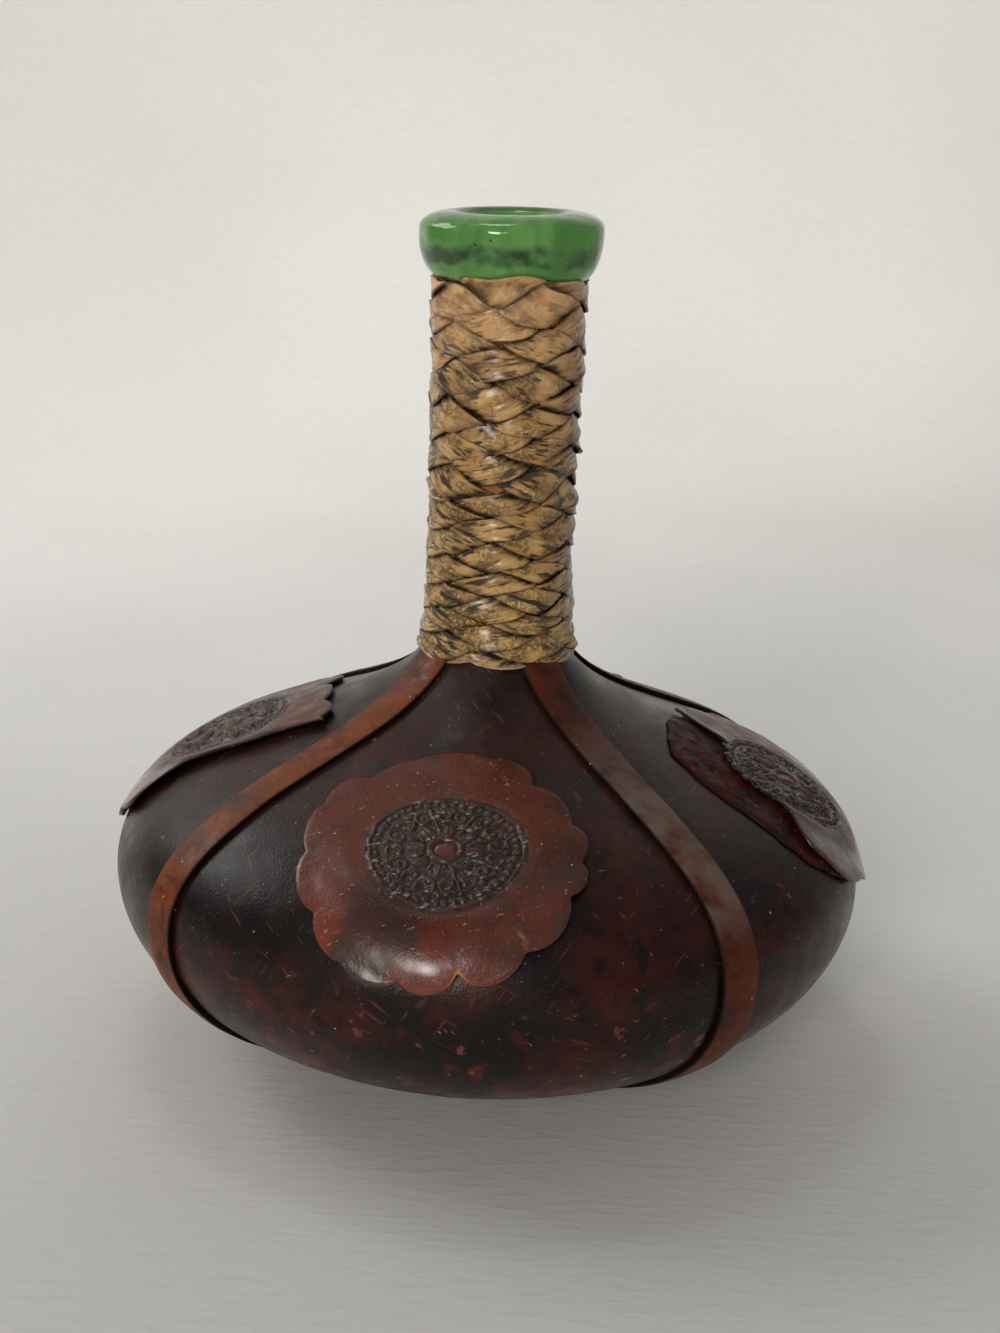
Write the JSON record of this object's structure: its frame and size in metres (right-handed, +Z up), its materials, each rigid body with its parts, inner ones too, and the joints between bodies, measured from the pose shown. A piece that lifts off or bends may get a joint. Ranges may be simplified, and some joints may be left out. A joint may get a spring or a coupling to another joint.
{
  "type": "decanter",
  "caption": "Squat glass decanter with a long neck, dressed in leather gores, seam straps, scalloped medallions and a plaited neck wrap.",
  "frame": {"origin": "on the ground plane, under the middle of the bottle, on its axis", "axes": "+Z up along the bottle's axis, out of its mouth; -Y towards the viewer of the picture, with the front medallion 7.5 degrees round from it"},
  "size_m": [0.203, 0.203, 0.224],
  "materials": {
    "green_glass": "clear green bottle glass, glossy",
    "dark_base_leather": "dark, rubbed, matt",
    "burgundy_leather": "dyed, waxed, semi-gloss, worn",
    "brown_strap_leather": "brown, satin, dark at the edges",
    "red_brown_leather": "embossed, waxed, semi-gloss",
    "orange_under_leather": "matt",
    "tan_lace_leather": "tan, dry, grimy in the creases"
  },
  "bodies": {
    "root": {"glass_bottle": "green_glass", "base_leather": "dark_base_leather", "gore_1": "burgundy_leather", "gore_2": "burgundy_leather", "gore_3": "burgundy_leather", "gore_4": "burgundy_leather", "strap_1": "brown_strap_leather", "strap_2": "brown_strap_leather", "strap_3": "brown_strap_leather", "strap_4": "brown_strap_leather", "medallion_1": "red_brown_leather", "medallion_2": "red_brown_leather", "medallion_3": "red_brown_leather", "medallion_4": "red_brown_leather", "neck_sleeve": "orange_under_leather", "lace_right_hand_1": "tan_lace_leather", "lace_right_hand_2": "tan_lace_leather", "lace_right_hand_3": "tan_lace_leather", "lace_right_hand_4": "tan_lace_leather", "lace_right_hand_5": "tan_lace_leather", "lace_left_hand_1": "tan_lace_leather", "lace_left_hand_2": "tan_lace_leather", "lace_left_hand_3": "tan_lace_leather", "lace_left_hand_4": "tan_lace_leather", "lace_left_hand_5": "tan_lace_leather"}
  },
  "joints": []
}
